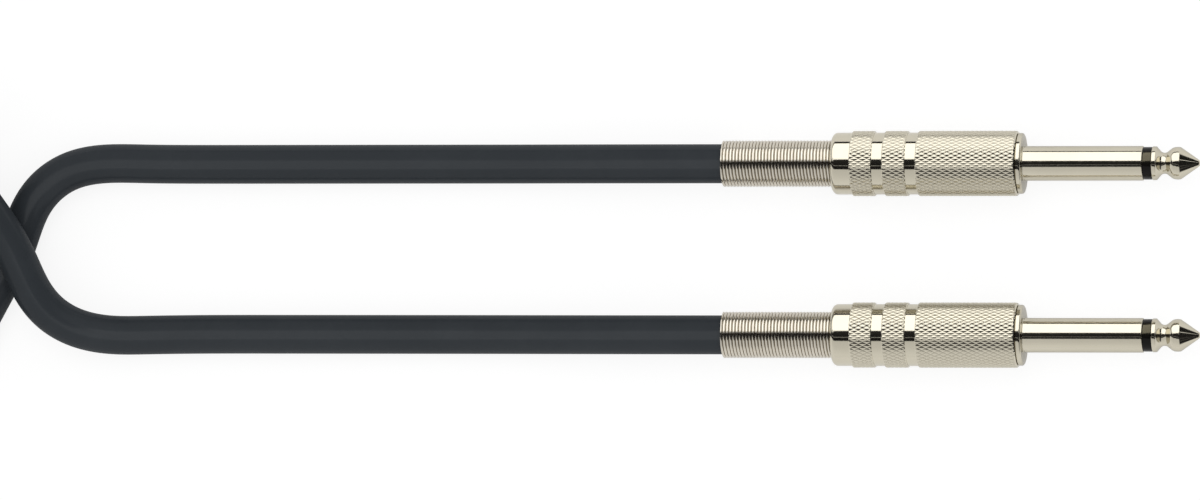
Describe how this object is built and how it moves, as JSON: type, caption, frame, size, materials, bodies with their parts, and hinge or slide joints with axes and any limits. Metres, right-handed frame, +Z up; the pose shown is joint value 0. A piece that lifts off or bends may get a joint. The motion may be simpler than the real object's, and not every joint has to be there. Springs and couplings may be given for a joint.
{
  "type": "instrument cable",
  "caption": "Instrument lead with straight 6.35 mm mono plugs, screwed knurled barrels and spring bend reliefs, its slack put up in a tied hank.",
  "frame": {"origin": "on the surface the lead lies on, midway between the plugs, at the middle of their length from tip to spring end", "axes": "+X along the plugs towards their tips, +Y across from the second plug to the first, +Z up"},
  "size_m": [0.3757, 0.0679, 0.0328],
  "materials": {
    "nickel": "bright nickel plate over turned brass, satin with fine turning marks",
    "black_insulator": "moulded black plastic, satin",
    "tinned_brass": "stamped brass sheet, lightly tinned",
    "liner_paper": "rolled insulating fibre, dull",
    "spring_steel": "nickel-plated drawn spring wire",
    "cable_jacket": "extruded dark grey PVC, satin",
    "core_insulation": "extruded natural polyethylene, slightly glossy",
    "copper": "twisted bare copper strands",
    "solder": "cooled solder, bright with a faint grain",
    "tie_strap": "woven black hook-and-loop strap"
  },
  "bodies": {
    "lead": {"plug_a_tip": "nickel", "plug_a_insulator_ring": "black_insulator", "plug_a_insulator_tube": "black_insulator", "plug_a_sleeve": "nickel", "plug_a_rear_washer": "black_insulator", "plug_a_tip_lug": "tinned_brass", "plug_a_ground_lug": "tinned_brass", "plug_a_cable_end": "cable_jacket", "plug_a_core": "core_insulation", "plug_a_core_wire": "copper", "plug_a_shield": "copper", "plug_a_solder": "solder", "plug_b_tip": "nickel", "plug_b_insulator_ring": "black_insulator", "plug_b_insulator_tube": "black_insulator", "plug_b_sleeve": "nickel", "plug_b_rear_washer": "black_insulator", "plug_b_tip_lug": "tinned_brass", "plug_b_ground_lug": "tinned_brass", "plug_b_cable_end": "cable_jacket", "plug_b_core": "core_insulation", "plug_b_core_wire": "copper", "plug_b_shield": "copper", "plug_b_solder": "solder", "cable_run_a": "cable_jacket", "cable_hank": "cable_jacket", "cable_run_b": "cable_jacket", "hank_tie": "tie_strap"},
    "relief_a": {"plug_a_spring": "spring_steel", "plug_a_liner": "liner_paper"},
    "cover_a": {"plug_a_barrel": "nickel"},
    "relief_b": {"plug_b_spring": "spring_steel", "plug_b_liner": "liner_paper"},
    "cover_b": {"plug_b_barrel": "nickel"}
  },
  "joints": [
    {"name": "relief_a_slide", "type": "slide", "parent": "lead", "child": "relief_a", "axis": [-1, 0, 0], "range_m": [0, 0.006]},
    {"name": "cover_a_turn", "type": "hinge", "parent": "relief_a", "child": "cover_a", "pos_m": [0, 0.01575, 0.006], "axis": [-1, 0, 0], "range_deg": [0, 2160]},
    {"name": "relief_b_slide", "type": "slide", "parent": "lead", "child": "relief_b", "axis": [-1, 0, 0], "range_m": [0, 0.006]},
    {"name": "cover_b_turn", "type": "hinge", "parent": "relief_b", "child": "cover_b", "pos_m": [0, -0.01575, 0.006], "axis": [-1, 0, 0], "range_deg": [0, 2160]}
  ],
  "couplings": [
    {"joint": "relief_a_slide", "follows": "cover_a_turn", "m_per_rad": 0.00015915},
    {"joint": "relief_b_slide", "follows": "cover_b_turn", "m_per_rad": 0.00015915}
  ]
}
